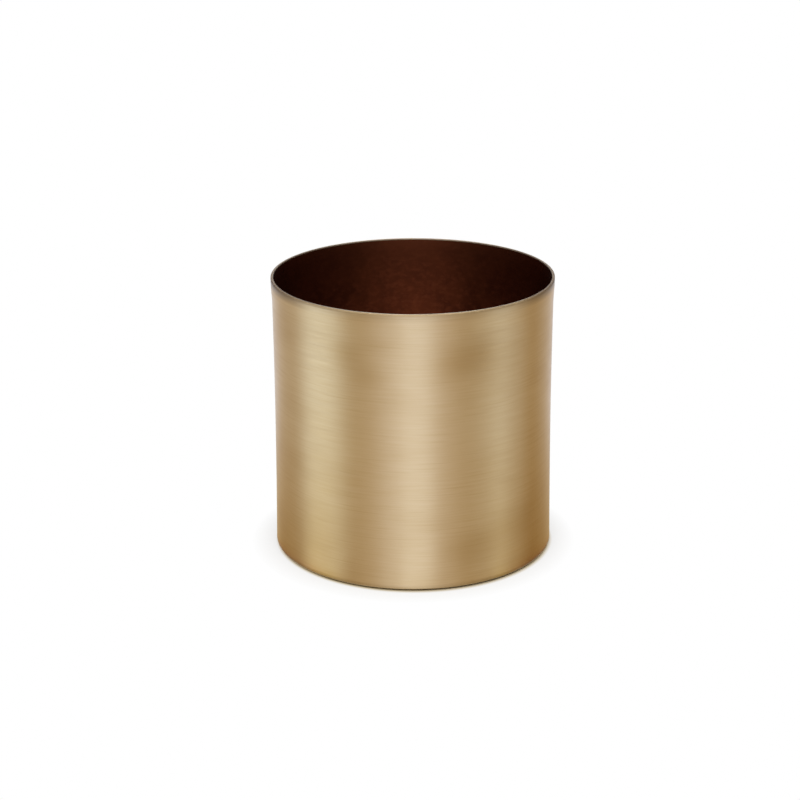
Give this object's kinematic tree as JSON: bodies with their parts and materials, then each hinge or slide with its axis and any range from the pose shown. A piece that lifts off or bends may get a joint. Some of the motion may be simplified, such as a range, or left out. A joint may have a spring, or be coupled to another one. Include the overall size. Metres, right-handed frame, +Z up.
{
  "type": "cachepot",
  "caption": "Straight brushed-brass cachepot with a slight waist, a small turned-out lip, a dark lacquered inside and pads under its base; it hides a nursery pot.",
  "frame": {"origin": "centre of the circle it stands in, on the surface under its foot pads", "axes": "+Z up along the pot's axis, +Y to the back, where the wall's seam is, +X to the right seen from the front"},
  "size_m": [0.141, 0.141, 0.14],
  "materials": {
    "brushed_brass": "brushed round the pot, thin clear lacquer",
    "braze": "dressed flush and brushed",
    "base_brass": "plain rolled sheet",
    "solder": "matt soft solder",
    "brown_lacquer": "satin, slightly mottled",
    "pad_rubber": "matt"
  },
  "bodies": {
    "root": {"wall": "brushed_brass", "side_seam": "braze", "base_pan": "base_brass", "base_solder": "solder", "inner_lacquer": "brown_lacquer", "foot_pad_1": "pad_rubber", "foot_pad_2": "pad_rubber", "foot_pad_3": "pad_rubber", "foot_pad_4": "pad_rubber"}
  },
  "joints": []
}
